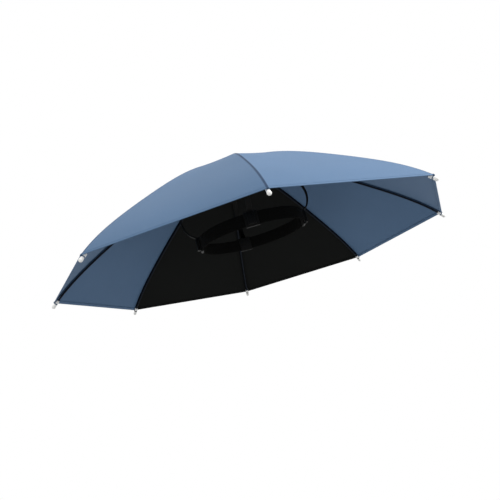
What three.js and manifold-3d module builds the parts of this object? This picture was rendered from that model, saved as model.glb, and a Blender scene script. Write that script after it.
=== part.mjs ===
// An umbrella hat as it is worn: an eight-panel canopy on curved ribs, carried by four springy arms
// on an elastic headband.
//
// Millimetres. The origin is on the canopy's axis, level with the middle of the headband.
// +Z runs up the axis and -Y is the front, so rib 1 and the front arm point to -Y.

import * as THREE from 'three';
import { mergeVertices } from 'three/addons/utils/BufferGeometryUtils.js';
import Module from 'manifold-3d';

const wasm = await Module();
wasm.setup();

// Clearance between pieces that meet
const CLEARANCE = 0.3;

// Canopy
const PANEL_COUNT = 8;
const TIP_RADIUS = 325;          // axis to a corner of the hem
const DOME_HEIGHT = 163;         // corners of the hem to the top of the canopy
const CLOTH = 1;                 // wall of a panel
const CENTRE_HOLE_RADIUS = 4;    // where the points of the panels are cut off
const ROUNDNESS_RATIO = 1.57;    // shape of the seams' curve: how fast it falls away from the top
const FLATNESS_RATIO = 1.13;     // and how much it straightens half way out
const CANOPY_STATIONS = 22;      // steps along a panel or a rib

// Ribs and their caps
const RIB_RADIUS = 1.5;
const RIB_START = 6;             // axis to the inner end of a rib
const RIB_OVERHANG = 4;          // rib past the hem, inside its cap
const CAP_INSIDE = 6;            // cap under the hem
const CAP_OUTSIDE = 8.5;         // cap past the hem
const CAP_BARREL_RADIUS = 2.6;
const CAP_NOSE_RADIUS = 2.9;

// Hub, plate and top cap on the axis
const HUB_RADIUS = 16;
const HUB_FLOOR = 2;             // hub under the ribs
const PLATE_RADIUS = 17;
const PLATE_HEIGHT = 7.2;
const PLATE_CHAMFER = 1;
const STEM_RADIUS = 2.5;
const STEM_IN_PLATE = 4.5;
const TOP_CAP_RADIUS = 11;
const TOP_CAP_HEIGHT = 4;

// Headband: an elastic loop on an ellipse, low at the front and a little to one side, as it is worn
const BAND_ABOVE_TIPS = 40.5;    // middle of the band over the corners of the hem
const BAND_HALF_WIDTH = 87;
const BAND_HALF_LENGTH = 97;
const BAND_HEIGHT = 20;
const BAND_THICKNESS = 1.8;
const BAND_SHIFT = 7;
const BAND_PITCH = 3.5;          // degrees, front low
const BAND_ROLL = 2;             // degrees, +X side high
const BAND_SEGMENTS = 64;        // sides round the loop

// Clips: a sleeve round the band, with a pocket on its outside for the arm's foot
const CLIP_WIDTH = 21;
const CLIP_HEIGHT = 23.4;
const POCKET_RISE = 1.2;         // pocket over the sleeve
const CLIP_WALL = 1.4;
const CLIP_CORNER = 2.2;
const CLIP_CHAMFER = 0.7;

// Arms
const ARM_WIDTH = 8;
const ARM_THICKNESS = 2.4;
const ARM_CHAMFER = 0.5;
const ARM_IN_CLIP = 7;           // foot of the arm, below the middle of the band
const ARM_START = 7;             // axis to the inner end of an arm, in the plate
const ARM_STRAIGHT = 15;         // straight inner end of an arm
const ARM_STATIONS = 28;         // steps along an arm

// The arm's curve from its clip to the plate. out: share of the foot's mean distance from the axis.
// up: share of the rise from the foot to the plate.
const ARM_CURVE = [
  { out: 1.1, up: 0.18 },
  { out: 1.155, up: 0.28 },
  { out: 1.175, up: 0.395 },
  { out: 1.145, up: 0.52 },
  { out: 1.05, up: 0.66 },
  { out: 0.86, up: 0.81 },
  { out: 0.63, up: 0.91 },
  { out: 0.42, up: 0.97 },
];

// Values worked out from those above
const STEP_ANGLE = (2 * Math.PI) / PANEL_COUNT;
const HALF_STEP = STEP_ANGLE / 2;
const FRONT = -Math.PI / 2;
const TIP_LEVEL = -BAND_ABOVE_TIPS;
const APEX_LEVEL = TIP_LEVEL + DOME_HEIGHT;
const HEM_FALL = 1 - ROUNDNESS_RATIO + FLATNESS_RATIO;

// Height of the seams over the hem's corners at a distance from the axis: an even curve of the sixth
// degree in the share of the way out, which is 1 on the axis and 0 at the corners.
function domeRise(radius) {
  const u = radius / TIP_RADIUS;
  return DOME_HEIGHT * (1 - ROUNDNESS_RATIO * u ** 2 + FLATNESS_RATIO * u ** 4 - HEM_FALL * u ** 6);
}

// Downward slope of that curve, as a tangent
function domeSlope(radius) {
  const u = radius / TIP_RADIUS;
  const fall = 2 * ROUNDNESS_RATIO * u - 4 * FLATNESS_RATIO * u ** 3 + 6 * HEM_FALL * u ** 5;
  return (DOME_HEIGHT / TIP_RADIUS) * fall;
}

// A rib's axis runs this far inside the seam, so that the cap on its end is clear of both panels,
// which slope away from the seam to either side
const hemAngle = Math.atan(domeSlope(TIP_RADIUS));
const hemPanelAngle = Math.atan(Math.tan(hemAngle) / Math.cos(HALF_STEP));
const seamShare = Math.sin(hemAngle) * Math.sin(hemPanelAngle) * Math.cos(HALF_STEP)
  + Math.cos(hemAngle) * Math.cos(hemPanelAngle);
const RIB_DROP = (CLOTH + CLEARANCE + CAP_BARREL_RADIUS) / seamShare;

// Point on a rib's axis under the seam's point at the given distance from the canopy's axis
function ribPoint(radius) {
  const angle = Math.atan(domeSlope(radius));
  return new THREE.Vector3(
    radius - RIB_DROP * Math.sin(angle),
    0,
    TIP_LEVEL + domeRise(radius) - RIB_DROP * Math.cos(angle),
  );
}

const ribEnd = ribPoint(TIP_RADIUS);
const ribEndDirection = new THREE.Vector3(Math.cos(hemAngle), 0, -Math.sin(hemAngle));

const HUB_RIM_LEVEL = TIP_LEVEL + domeRise(HUB_RADIUS / Math.cos(HALF_STEP)) - CLOTH - CLEARANCE;
const HUB_BOTTOM = ribPoint(HUB_RADIUS).z - RIB_RADIUS - CLEARANCE - HUB_FLOOR;
const PLATE_TOP = HUB_BOTTOM - CLEARANCE;
const PLATE_BOTTOM = PLATE_TOP - PLATE_HEIGHT;
const ARM_LEVEL = PLATE_TOP - PLATE_HEIGHT / 2;

// The headband's own frame: its middle, pitched and rolled
const seat = new THREE.Matrix4().makeRotationFromEuler(new THREE.Euler(
  THREE.MathUtils.degToRad(BAND_PITCH),
  THREE.MathUtils.degToRad(-BAND_ROLL),
  0,
)).setPosition(BAND_SHIFT, 0, 0);

// Materials
const material = (color, roughness) => new THREE.MeshStandardMaterial({ color, roughness, metalness: 0 });
const blueCloth = material(0x6482ab, 0.8);
const blackCloth = material(0x141414, 0.85);
const blackPlastic = material(0x0c0c0c, 0.45);
const ribFinish = material(0x14181f, 0.4);
const whitePlastic = material(0xf2f2ee, 0.35);
const blackElastic = material(0x0d0d0d, 0.9);

// Closed body through a row of sections, each the same number of corners in the same order
function loft(sections) {
  const corners = sections[0].length;
  const positions = sections.flat().flatMap((point) => point.toArray());
  const indices = [];
  for (let row = 0; row < sections.length - 1; row += 1) {
    for (let corner = 0; corner < corners; corner += 1) {
      const a = row * corners + corner;
      const b = row * corners + ((corner + 1) % corners);
      indices.push(a, b, b + corners, a, b + corners, a + corners);
    }
  }
  const last = (sections.length - 1) * corners;
  for (let corner = 1; corner < corners - 1; corner += 1) {
    indices.push(0, corner + 1, corner);
    indices.push(last, last + corner, last + corner + 1);
  }
  const geometry = new THREE.BufferGeometry();
  geometry.setAttribute('position', new THREE.Float32BufferAttribute(positions, 3));
  geometry.setIndex(indices);
  return geometry;
}

// Solid of the boolean library from a closed geometry
function toSolid(geometry) {
  const bare = geometry.clone();
  bare.deleteAttribute('normal');
  bare.deleteAttribute('uv');
  const merged = mergeVertices(bare, 1e-4);
  const index = merged.index.array;
  const kept = [];
  for (let i = 0; i < index.length; i += 3) {
    const [a, b, c] = [index[i], index[i + 1], index[i + 2]];
    if (a !== b && b !== c && c !== a) kept.push(a, b, c);
  }
  return new wasm.Manifold(new wasm.Mesh({
    numProp: 3,
    vertProperties: new Float32Array(merged.attributes.position.array),
    triVerts: new Uint32Array(kept),
  }));
}

// Geometry of bodies joined into one, with cutters taken out of it
function cut(bodies, cutters) {
  const whole = bodies.map(toSolid).reduce((sum, body) => sum.add(body));
  const solid = cutters.map(toSolid).reduce((rest, cutter) => rest.subtract(cutter), whole);
  const mesh = solid.getMesh();
  const geometry = new THREE.BufferGeometry();
  geometry.setAttribute('position', new THREE.BufferAttribute(mesh.vertProperties, 3));
  geometry.setIndex(new THREE.BufferAttribute(mesh.triVerts, 1));
  return geometry;
}

// A panel lies straight across between two seams, so it is a bent sheet whose edges follow the seams.
// Its own middle runs out along +X.
function panel() {
  const sections = [];
  for (let station = 0; station <= CANOPY_STATIONS; station += 1) {
    const radius = THREE.MathUtils.lerp(CENTRE_HOLE_RADIUS, TIP_RADIUS, station / CANOPY_STATIONS);
    const angle = Math.atan(domeSlope(radius) / Math.cos(HALF_STEP));
    const outer = { x: radius * Math.cos(HALF_STEP), z: TIP_LEVEL + domeRise(radius) };
    const inner = { x: outer.x - CLOTH * Math.sin(angle), z: outer.z - CLOTH * Math.cos(angle) };
    const halfWidth = (x) => x * Math.tan(HALF_STEP) - CLEARANCE / 2 / Math.cos(HALF_STEP);
    sections.push([
      new THREE.Vector3(inner.x, halfWidth(inner.x), inner.z),
      new THREE.Vector3(outer.x, halfWidth(outer.x), outer.z),
      new THREE.Vector3(outer.x, -halfWidth(outer.x), outer.z),
      new THREE.Vector3(inner.x, -halfWidth(inner.x), inner.z),
    ]);
  }
  return loft(sections);
}

// Round rod with eight sides through a row of points
function rod(rodRadius, points) {
  const section = new THREE.Shape().absarc(0, 0, rodRadius, 0, 2 * Math.PI, false);
  return new THREE.ExtrudeGeometry(section, {
    steps: points.length - 1,
    curveSegments: 4,
    bevelEnabled: false,
    extrudePath: new THREE.CatmullRomCurve3(points),
  });
}

// Rib under a seam, along +X, with its outer end past the hem
function rib() {
  const points = [];
  for (let station = 0; station <= CANOPY_STATIONS; station += 1) {
    points.push(ribPoint(THREE.MathUtils.lerp(RIB_START, TIP_RADIUS, station / CANOPY_STATIONS)));
  }
  points.push(ribEnd.clone().addScaledVector(ribEndDirection, RIB_OVERHANG));
  return rod(RIB_RADIUS, points);
}

// Body turned round Z from a profile of distances from the axis and levels
function turned(profile, segments) {
  const geometry = new THREE.LatheGeometry(profile.map(([x, y]) => new THREE.Vector2(x, y)), segments);
  return geometry.rotateX(Math.PI / 2);
}

// Quarter of an oval from its side to just short of its top, as distances from the axis and levels
function ovalQuarter(radius, height, level) {
  return [0, 22.5, 45, 67.5].map((degrees) => {
    const angle = THREE.MathUtils.degToRad(degrees);
    return [radius * Math.cos(angle), level + height * Math.sin(angle)];
  });
}

// Cap on a rib's end, along +Z: a barrel under the hem, a round nose past it, and a blind hole for the rib
function tipCap() {
  const hole = RIB_RADIUS + CLEARANCE;
  return turned([
    [0, RIB_OVERHANG + CLEARANCE],
    [hole, RIB_OVERHANG + CLEARANCE],
    [hole, -CAP_INSIDE],
    [CAP_BARREL_RADIUS, -CAP_INSIDE],
    [CAP_BARREL_RADIUS, 0],
    ...ovalQuarter(CAP_NOSE_RADIUS, CAP_NOSE_RADIUS, CAP_OUTSIDE - CAP_NOSE_RADIUS),
    [0, CAP_OUTSIDE],
  ], 10);
}

// Hub: a disc with a shallow cone on top, a hole for the stem and one for each rib
function ribHub() {
  const hole = STEM_RADIUS + CLEARANCE;
  const disc = turned([
    [hole, HUB_BOTTOM],
    [HUB_RADIUS, HUB_BOTTOM],
    [HUB_RADIUS, HUB_RIM_LEVEL],
    [hole, APEX_LEVEL - CLOTH - CLEARANCE],
    [hole, HUB_BOTTOM],
  ], 32);
  const bores = [];
  for (let k = 0; k < PANEL_COUNT; k += 1) {
    const line = [RIB_START - CLEARANCE, HUB_RADIUS, HUB_RADIUS + 2 * RIB_RADIUS].map(ribPoint);
    bores.push(rod(RIB_RADIUS + CLEARANCE, line).rotateZ(FRONT + k * STEP_ANGLE));
  }
  return cut([disc], bores);
}

// Top cap: a low button on the canopy, with the stem that goes through the hub into the plate
function topCap() {
  const under = APEX_LEVEL + CLEARANCE;
  const stemEnd = PLATE_TOP - STEM_IN_PLATE;
  return turned([
    [0, stemEnd],
    [STEM_RADIUS, stemEnd],
    [STEM_RADIUS, under],
    ...ovalQuarter(TOP_CAP_RADIUS, TOP_CAP_HEIGHT, under),
    [0, under + TOP_CAP_HEIGHT],
  ], 24);
}

// Ring of the headband's section, thicker and taller all round by the given margin
function bandRing(margin) {
  const half = BAND_THICKNESS / 2 + margin;
  const ring = new THREE.Shape()
    .absellipse(0, 0, BAND_HALF_WIDTH + half, BAND_HALF_LENGTH + half, 0, 2 * Math.PI, false, 0);
  ring.holes.push(new THREE.Path()
    .absellipse(0, 0, BAND_HALF_WIDTH - half, BAND_HALF_LENGTH - half, 0, 2 * Math.PI, true, 0));
  const depth = BAND_HEIGHT + 2 * margin;
  return new THREE.ExtrudeGeometry(ring, { depth, curveSegments: BAND_SEGMENTS / 2, bevelEnabled: false })
    .translate(0, 0, -depth / 2)
    .applyMatrix4(seat);
}

// Frame of the headband where the upright half-plane at an angle cuts it: X along the band, Y outwards,
// Z up the band
function bandFrame(angle) {
  const flatten = (BAND_HALF_WIDTH / BAND_HALF_LENGTH) ** 2;
  const a = Math.cos(angle) ** 2 + flatten * Math.sin(angle) ** 2;
  const b = -BAND_SHIFT * Math.cos(angle);
  const c = BAND_SHIFT ** 2 - BAND_HALF_WIDTH ** 2;
  const reach = (-b + Math.sqrt(b * b - a * c)) / a;
  const turn = Math.atan2(
    (reach * Math.sin(angle)) / BAND_HALF_LENGTH,
    (reach * Math.cos(angle) - BAND_SHIFT) / BAND_HALF_WIDTH,
  );
  const place = new THREE.Vector3(BAND_HALF_WIDTH * Math.cos(turn), BAND_HALF_LENGTH * Math.sin(turn), 0);
  const along = new THREE.Vector3(
    BAND_HALF_WIDTH * Math.sin(turn),
    -BAND_HALF_LENGTH * Math.cos(turn),
    0,
  ).normalize();
  const up = new THREE.Vector3(0, 0, 1);
  const outwards = new THREE.Vector3().crossVectors(up, along);
  const local = new THREE.Matrix4().makeBasis(along, outwards, up).setPosition(place);
  return local.premultiply(seat);
}

// How far the arm's foot stands out from the middle of the band
const FOOT_OFFSET = BAND_THICKNESS / 2 + CLEARANCE + CLIP_WALL + CLEARANCE + ARM_THICKNESS / 2;

// Foot of the arm at an angle, in the upright plane of that arm: distance from the axis and level, and
// the direction up the band
function armFoot(angle) {
  const frame = bandFrame(angle);
  const foot = new THREE.Vector3(0, FOOT_OFFSET, 0).applyMatrix4(frame);
  const up = new THREE.Vector3(0, 0, 1).transformDirection(frame);
  const outward = new THREE.Vector3(Math.cos(angle), Math.sin(angle), 0);
  return {
    at: new THREE.Vector3(foot.dot(outward), 0, foot.z),
    up: new THREE.Vector3(up.dot(outward), 0, up.z),
  };
}

// Arm at an angle, made in the plane of X and Z. A foot that stands off the middle leans the arm, less
// and less towards the plate.
function arm(angle, margin) {
  const foot = armFoot(angle);
  const mean = (foot.at.x + armFoot(angle + Math.PI).at.x) / 2;
  const rise = ARM_LEVEL - foot.at.z;
  const inClip = CLIP_HEIGHT / 2;
  const points = [
    foot.at.clone().addScaledVector(foot.up, -ARM_IN_CLIP - margin),
    foot.at.clone().addScaledVector(foot.up, -ARM_IN_CLIP / 2),
    foot.at.clone(),
    foot.at.clone().addScaledVector(foot.up, inClip / 2),
    foot.at.clone().addScaledVector(foot.up, inClip),
    ...ARM_CURVE.map(({ out, up }) => new THREE.Vector3(
      out * mean + (foot.at.x - mean) * (1 - up),
      0,
      foot.at.z + up * rise,
    )),
    new THREE.Vector3(ARM_START + ARM_STRAIGHT, 0, ARM_LEVEL),
    new THREE.Vector3(ARM_START + ARM_STRAIGHT / 2, 0, ARM_LEVEL),
    new THREE.Vector3(ARM_START - margin, 0, ARM_LEVEL),
  ];
  const x = ARM_WIDTH / 2 + margin;
  const y = ARM_THICKNESS / 2 + margin;
  const section = new THREE.Shape([
    [x - ARM_CHAMFER, -y], [x, ARM_CHAMFER - y], [x, y - ARM_CHAMFER], [x - ARM_CHAMFER, y],
    [ARM_CHAMFER - x, y], [-x, y - ARM_CHAMFER], [-x, ARM_CHAMFER - y], [ARM_CHAMFER - x, -y],
  ].map(([across, through]) => new THREE.Vector2(across, through)));
  return new THREE.ExtrudeGeometry(section, {
    steps: ARM_STATIONS,
    bevelEnabled: false,
    extrudePath: new THREE.CatmullRomCurve3(points, false, 'centripetal'),
  });
}

// Block with rounded corners and chamfered faces in the band's frame
function clipBlock(width, bottom, top, inner, outer) {
  const x = width / 2 - CLIP_CHAMFER;
  const low = bottom + CLIP_CHAMFER;
  const high = top - CLIP_CHAMFER;
  const r = CLIP_CORNER - CLIP_CHAMFER;
  const face = new THREE.Shape()
    .moveTo(r - x, low)
    .lineTo(x - r, low).absarc(x - r, low + r, r, -Math.PI / 2, 0, false)
    .lineTo(x, high - r).absarc(x - r, high - r, r, 0, Math.PI / 2, false)
    .lineTo(r - x, high).absarc(r - x, high - r, r, Math.PI / 2, Math.PI, false)
    .lineTo(-x, low + r).absarc(r - x, low + r, r, Math.PI, 1.5 * Math.PI, false);
  const block = new THREE.ExtrudeGeometry(face, {
    depth: outer - inner - 2 * CLIP_CHAMFER,
    curveSegments: 1,
    bevelThickness: CLIP_CHAMFER,
    bevelSize: CLIP_CHAMFER,
    bevelSegments: 1,
  });
  return block.rotateX(Math.PI / 2).translate(0, outer - CLIP_CHAMFER, 0);
}

// Clip: the sleeve and the pocket in one, cut by the band that runs through and by the arm's foot
function clip(angle) {
  const sleeveHalf = BAND_THICKNESS / 2 + CLEARANCE + CLIP_WALL;
  const sleeve = clipBlock(CLIP_WIDTH, -CLIP_HEIGHT / 2, CLIP_HEIGHT / 2, -sleeveHalf, sleeveHalf);
  const pocket = clipBlock(
    ARM_WIDTH + 2 * (CLEARANCE + CLIP_WALL),
    -ARM_IN_CLIP - CLEARANCE - CLIP_WALL,
    CLIP_HEIGHT / 2 + POCKET_RISE,
    0,
    FOOT_OFFSET + ARM_THICKNESS / 2 + CLEARANCE + CLIP_WALL,
  );
  const frame = bandFrame(angle);
  const bodies = [sleeve, pocket].map((body) => body.applyMatrix4(frame));
  return cut(bodies, [bandRing(CLEARANCE), arm(angle, CLEARANCE).rotateZ(angle)]);
}

// Plate: a disc with a blind hole for the stem and a socket for each arm
function armPlate(angles) {
  const hole = STEM_RADIUS + CLEARANCE;
  const holeEnd = PLATE_TOP - STEM_IN_PLATE - CLEARANCE;
  const disc = turned([
    [0, PLATE_BOTTOM],
    [PLATE_RADIUS - PLATE_CHAMFER, PLATE_BOTTOM],
    [PLATE_RADIUS, PLATE_BOTTOM + PLATE_CHAMFER],
    [PLATE_RADIUS, PLATE_TOP],
    [hole, PLATE_TOP],
    [hole, holeEnd],
    [0, holeEnd],
  ], 32);
  return cut([disc], angles.map((angle) => arm(angle, CLEARANCE).rotateZ(angle)));
}

const group = new THREE.Group();

function add(parent, name, geometry, finish) {
  const mesh = new THREE.Mesh(geometry, finish);
  mesh.name = name;
  parent.add(mesh);
  return mesh;
}

// Panels, ribs and caps, numbered from the front towards +X. The two rear panels are black.
const panelGeometry = panel();
const ribGeometry = rib();
const capGeometry = tipCap();
const REAR_PANELS = [PANEL_COUNT / 2, PANEL_COUNT / 2 + 1];
for (let k = 1; k <= PANEL_COUNT; k += 1) {
  const spoke = new THREE.Group();
  spoke.rotation.z = FRONT + (k - 1) * STEP_ANGLE;
  group.add(spoke);
  add(spoke, `rib_${k}`, ribGeometry, ribFinish);
  const cap = add(spoke, `tip_cap_${k}`, capGeometry, whitePlastic);
  cap.position.copy(ribEnd);
  cap.quaternion.setFromUnitVectors(new THREE.Vector3(0, 0, 1), ribEndDirection);
  const cloth = add(group, `panel_${k}`, panelGeometry, REAR_PANELS.includes(k) ? blackCloth : blueCloth);
  cloth.rotation.z = FRONT + (k - 0.5) * STEP_ANGLE;
}

add(group, 'rib_hub', ribHub(), blackPlastic);
add(group, 'top_cap', topCap(), blackPlastic);

// Arms and clips stand under every second rib
const SIDES = ['front', 'right', 'rear', 'left'];
const armAngles = SIDES.map((side, index) => FRONT + index * (Math.PI / 2));
SIDES.forEach((side, index) => {
  const angle = armAngles[index];
  const strip = add(group, `arm_${side}`, arm(angle, 0), blackPlastic);
  strip.rotation.z = angle;
  add(group, `clip_${side}`, clip(angle), blackPlastic);
});
add(group, 'arm_plate', armPlate(armAngles), blackPlastic);
add(group, 'headband', bandRing(0), blackElastic);

export default group;
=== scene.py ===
import bpy
import numpy as np
from bpy.props import FloatProperty, FloatVectorProperty, IntProperty, PointerProperty
from mathutils import Euler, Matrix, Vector


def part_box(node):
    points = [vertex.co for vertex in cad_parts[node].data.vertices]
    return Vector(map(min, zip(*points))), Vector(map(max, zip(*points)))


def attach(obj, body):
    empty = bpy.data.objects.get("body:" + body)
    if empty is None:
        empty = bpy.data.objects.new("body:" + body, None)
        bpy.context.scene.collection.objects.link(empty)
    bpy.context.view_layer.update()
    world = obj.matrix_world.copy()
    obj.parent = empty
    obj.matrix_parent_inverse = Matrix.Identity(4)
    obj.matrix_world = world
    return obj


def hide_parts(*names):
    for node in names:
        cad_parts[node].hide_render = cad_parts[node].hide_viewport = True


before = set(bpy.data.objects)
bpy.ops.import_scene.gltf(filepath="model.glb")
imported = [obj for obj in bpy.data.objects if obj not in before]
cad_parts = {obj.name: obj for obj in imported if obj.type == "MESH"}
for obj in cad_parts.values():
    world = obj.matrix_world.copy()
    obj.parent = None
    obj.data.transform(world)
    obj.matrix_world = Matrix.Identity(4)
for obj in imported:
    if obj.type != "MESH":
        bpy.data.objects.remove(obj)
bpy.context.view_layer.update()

bl_info = {
    "name": "Umbrella Hat",
    "version": (1, 0, 0),
    "blender": (4, 5, 0),
    "location": "View3D > Sidebar > Umbrella Hat",
    "description": "Builds an umbrella hat from its sizes: canopy, ribs, caps, headband, clips and arms",
    "category": "Add Mesh",
}

FRONT = -np.pi / 2
SIDES = ("front", "right", "rear", "left")
SIDE_ANGLES = dict(zip(SIDES, FRONT + np.arange(4) * np.pi / 2))
CLEARANCE = 0.0003    # between pieces that meet
CAD_CLOTH = 0.001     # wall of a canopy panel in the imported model
HUB_LOW, HUB_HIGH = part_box("rib_hub")
PLATE_LOW, PLATE_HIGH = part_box("arm_plate")
BUTTON_LOW, BUTTON_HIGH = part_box("top_cap")


# Sizes and colours

def length(name, description, default):
    """Property for a length in metres."""
    return FloatProperty(name=name, description=description, default=default, unit="LENGTH", precision=4)


def ratio(name, description, default):
    """Property for a plain number."""
    return FloatProperty(name=name, description=description, default=default, precision=3)


def angle(name, description, degrees):
    """Property for an angle, given in degrees and kept in radians."""
    return FloatProperty(name=name, description=description, default=np.radians(degrees), subtype="ANGLE")


def colour(name, description, default):
    """Property for a linear colour."""
    return FloatVectorProperty(name=name, description=description, default=default, subtype="COLOR",
                               size=3, min=0, max=1)


def point(name, description, default):
    """Property for a point."""
    return FloatVectorProperty(name=name, description=description, default=default, subtype="TRANSLATION",
                               size=3)


def turns(name, description, degrees):
    """Property for turns about X, Y and Z in that order, given in degrees."""
    return FloatVectorProperty(name=name, description=description, default=np.radians(degrees),
                               subtype="EULER", size=3)


def power(name, description, default):
    """Property for a light's power in watts."""
    return FloatProperty(name=name, description=description, default=default, unit="POWER")


class CanopySizes(bpy.types.PropertyGroup):
    """Cloth of the canopy, its seams and its hem"""

    panels: IntProperty(name="Panels", description="Number of cloth panels", default=8, min=5)
    tip_radius: length("Tip radius", "Axis to a corner of the hem", 0.325)
    height: length("Height", "Corners of the hem to the top of the canopy", 0.163)
    tips_below_band: length("Tips below band", "Corners of the hem under the middle of the band", 0.0405)
    roundness: ratio("Crown roundness", "How fast the seams fall away from the top", 1.57)
    flatness: ratio("Shoulder flatness", "How much the seams straighten half way out", 1.13)
    centre_hole: length("Centre hole", "Radius where the points of the panels are cut off", 0.004)
    cloth: length("Cloth", "Thickness of the cloth", 0.0003)
    sag: length("Sag", "How far a panel's middle is drawn in between its ribs", 0.0012)
    seam_roll: length("Seam roll", "Bend of the cloth as it turns into a seam", 0.0005)
    seam_depth: length("Seam depth", "Cloth that stands in the seam", 0.0005)
    hem_roll: length("Hem roll", "Bend of the cloth at the hem's fold", 0.00035)
    hem_width: length("Hem width", "Cloth turned in at the hem", 0.0045)
    tape_width: length("Tape width", "Binding tape under a seam", 0.0038)
    tape_edge: length("Tape edge", "Thickness of the tape at its edges", 0.00045)
    stitch_pitch: length("Stitch pitch", "One stitch to the next", 0.003)
    thread: length("Thread", "Diameter of the sewing thread", 0.00035)


class RibSizes(bpy.types.PropertyGroup):
    """Ribs, the caps on their ends and the thread that ties the cloth to them"""

    radius: length("Rib radius", "Half the thickness of a rib", 0.0014)
    start: length("Rib start", "Axis to the inner end of a rib", 0.006)
    overhang: length("Overhang", "Rib past the hem, inside its cap", 0.004)
    cap_inside: length("Cap inside", "Cap under the hem", 0.006)
    cap_outside: length("Cap outside", "Cap past the hem", 0.0085)
    barrel: length("Cap barrel", "Radius of the cap's barrel", 0.0026)
    nose: length("Cap nose", "Radius of the cap's round end", 0.0029)
    groove: length("Groove", "Depth of the cap's groove for the thread", 0.00035)
    binding_turns: IntProperty(name="Binding turns", description="Turns of thread round a cap", default=4)
    binding_thread: length("Binding thread", "Diameter of the binding thread", 0.0004)
    binding_start: length("Binding start", "First turn of the thread, short of the corner of the hem", 0.0005)
    binding_width: length("Binding width", "Thread along the cap", 0.0015)
    tie_thread: length("Tie thread", "Diameter of the threads over a corner of the hem", 0.0004)


class CentreSizes(bpy.types.PropertyGroup):
    """Hub, plate and button on the canopy's axis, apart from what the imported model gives"""

    edge: length("Edge", "Rounding of the edges", 0.0007)
    hub_bore: length("Hub bore", "Radius of the hole for the button's stem", 0.0028)
    hub_drop: length("Hub drop", "Hub under its place, for the cloth folded into the seams", 0.0006)
    plate_groove: length("Plate groove", "Depth of the ring in the plate's underside", 0.0006)
    plate_taper: length("Plate taper", "Plate's foot inside its top edge", 0.0002)
    button_rise: length("Button rise", "Height of the button's dome", 0.004)
    button_stem: length("Button stem", "Radius of the button's stem", 0.0025)


class BandSizes(bpy.types.PropertyGroup):
    """Elastic headband, on an ellipse, low at the front and a little to one side"""

    half_width: length("Half width", "Middle of the band, side to side", 0.087)
    half_length: length("Half length", "Middle of the band, front to rear", 0.097)
    height: length("Height", "Width of the elastic", 0.020)
    thickness: length("Thickness", "Thickness of the elastic", 0.0018)
    shift: length("Shift", "Middle of the band from the canopy's axis", 0.007)
    pitch: angle("Pitch", "Front low", 3.5)
    roll: angle("Roll", "+X side high", 2.0)
    cords: IntProperty(name="Cords", description="Rubber cords across the elastic", default=18)


class ClipSizes(bpy.types.PropertyGroup):
    """Clips that hold the arms to the band"""

    width: length("Width", "Clip along the band", 0.021)
    height: length("Height", "Clip up the band", 0.0234)
    wall: length("Wall", "Wall between the band and the arm, with its room", 0.0014)
    sleeve_wall: length("Sleeve wall", "Wall round the band", 0.0009)
    pocket_wall: length("Pocket wall", "Wall round the arm", 0.0008)
    mouth_slant: length("Mouth slant", "Outer rim of the pocket under its inner one", 0.0026)
    corner: length("Corner", "Round corner of the clip's face", 0.0022)
    edge: length("Edge", "Rounding of the clip's edges", 0.0006)
    pocket_rise: length("Pocket rise", "Pocket over the sleeve", 0.0012)


class ArmSizes(bpy.types.PropertyGroup):
    """Springy arms from the clips to the plate"""

    width: length("Width", "Arm across", 0.008)
    thickness: length("Thickness", "Arm through", 0.0024)
    corner: length("Corner", "Rounding of the arm's long edges", 0.0007)
    channel: length("Channel", "Depth of the shallow channel down the arm's outside", 0.0005)
    in_clip: length("In clip", "Foot of the arm, below the middle of the band", 0.007)
    start: length("Start", "Axis to the inner end of an arm", 0.007)
    straight: length("Straight", "Straight inner end of an arm", 0.015)


class Finishes(bpy.types.PropertyGroup):
    """Colours of the materials"""

    blue: colour("Blue cloth", "Six of the panels", (0.084, 0.154, 0.264))
    black: colour("Black cloth", "The two rear panels", (0.0094, 0.0100, 0.0094))
    tape: colour("Blue tape", "Binding tape between two blue panels", (0.034, 0.062, 0.108))
    black_tape: colour("Black tape", "Binding tape and thread of the black panels", (0.0025, 0.0042, 0.0078))
    thread: colour("Blue thread", "Sewing thread of the blue panels", (0.069, 0.126, 0.216))
    rib: colour("Ribs", "Paint on the ribs", (0.010, 0.013, 0.020))
    cap: colour("Caps", "White plastic", (0.82, 0.82, 0.80))
    plastic: colour("Plastic", "Black plastic", (0.0055, 0.0055, 0.0050))
    elastic: colour("Elastic", "Headband", (0.0040, 0.0040, 0.0036))


class StageSizes(bpy.types.PropertyGroup):
    """Floor, light and camera"""

    camera: point("Camera", "Where the camera stands", (-0.0995, -0.9585, -0.2523))
    camera_turn: turns("Camera turn", "How it is turned", (103.441, 14.0, -2.390))
    lens: FloatProperty(name="Lens", description="Focal length in millimetres", default=43.72, unit="CAMERA")
    key: point("Key light", "Place of the key light", (1.7, -0.45, 1.0))
    key_target: point("Key target", "What the key light looks at", (0.05, -0.05, 0.05))
    key_size: length("Key size", "Side of the key light", 0.7)
    key_power: power("Key power", "Power of the key light", 38)
    fill: point("Fill light", "Place of the fill light", (-1.0, -1.2, 1.2))
    fill_target: point("Fill target", "What the fill light looks at", (0.0, 0.0, 0.05))
    fill_size: length("Fill size", "Side of the fill light", 0.9)
    fill_power: power("Fill power", "Power of the fill light", 1)
    floor_drop: length("Floor drop", "Floor under the middle of the headband", 1.6)
    floor_radius: length("Floor radius", "Radius of the floor", 14.0)
    fade_start: length("Fade start", "Distance where the floor starts to fade into the backdrop", 2.4)
    fade_end: length("Fade end", "Distance where it has gone into it", 4.4)
    floor: colour("Floor", "Colour of the floor", (0.38, 0.38, 0.38))
    backdrop: colour("Backdrop", "Plain light all round", (1.0, 1.0, 1.0))


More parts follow.
